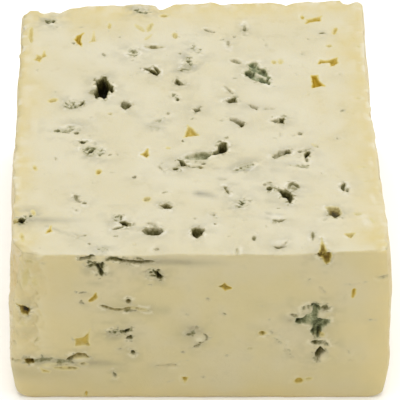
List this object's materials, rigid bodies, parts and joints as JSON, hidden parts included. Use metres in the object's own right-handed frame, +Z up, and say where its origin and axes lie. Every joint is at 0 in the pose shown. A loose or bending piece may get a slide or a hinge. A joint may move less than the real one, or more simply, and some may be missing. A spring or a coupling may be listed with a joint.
{
  "type": "rectangular block of blue cheese",
  "caption": "Square-cut block of blue-veined cheese with two cut faces full of mould-lined openings and pale rind on the other sides.",
  "frame": {"origin": "middle of the foot of the block's bounding box, on the surface it stands on", "axes": "+X to the right along the cut front, +Y from the cut front to the back rind, +Z up through the cut top"},
  "size_m": [0.1144, 0.1272, 0.0574],
  "materials": {
    "cheese": "moist crumbly cream paste with blue-green mould in its openings and a yellower rind"
  },
  "bodies": {
    "root": {"cheese_block": "cheese"}
  },
  "joints": []
}
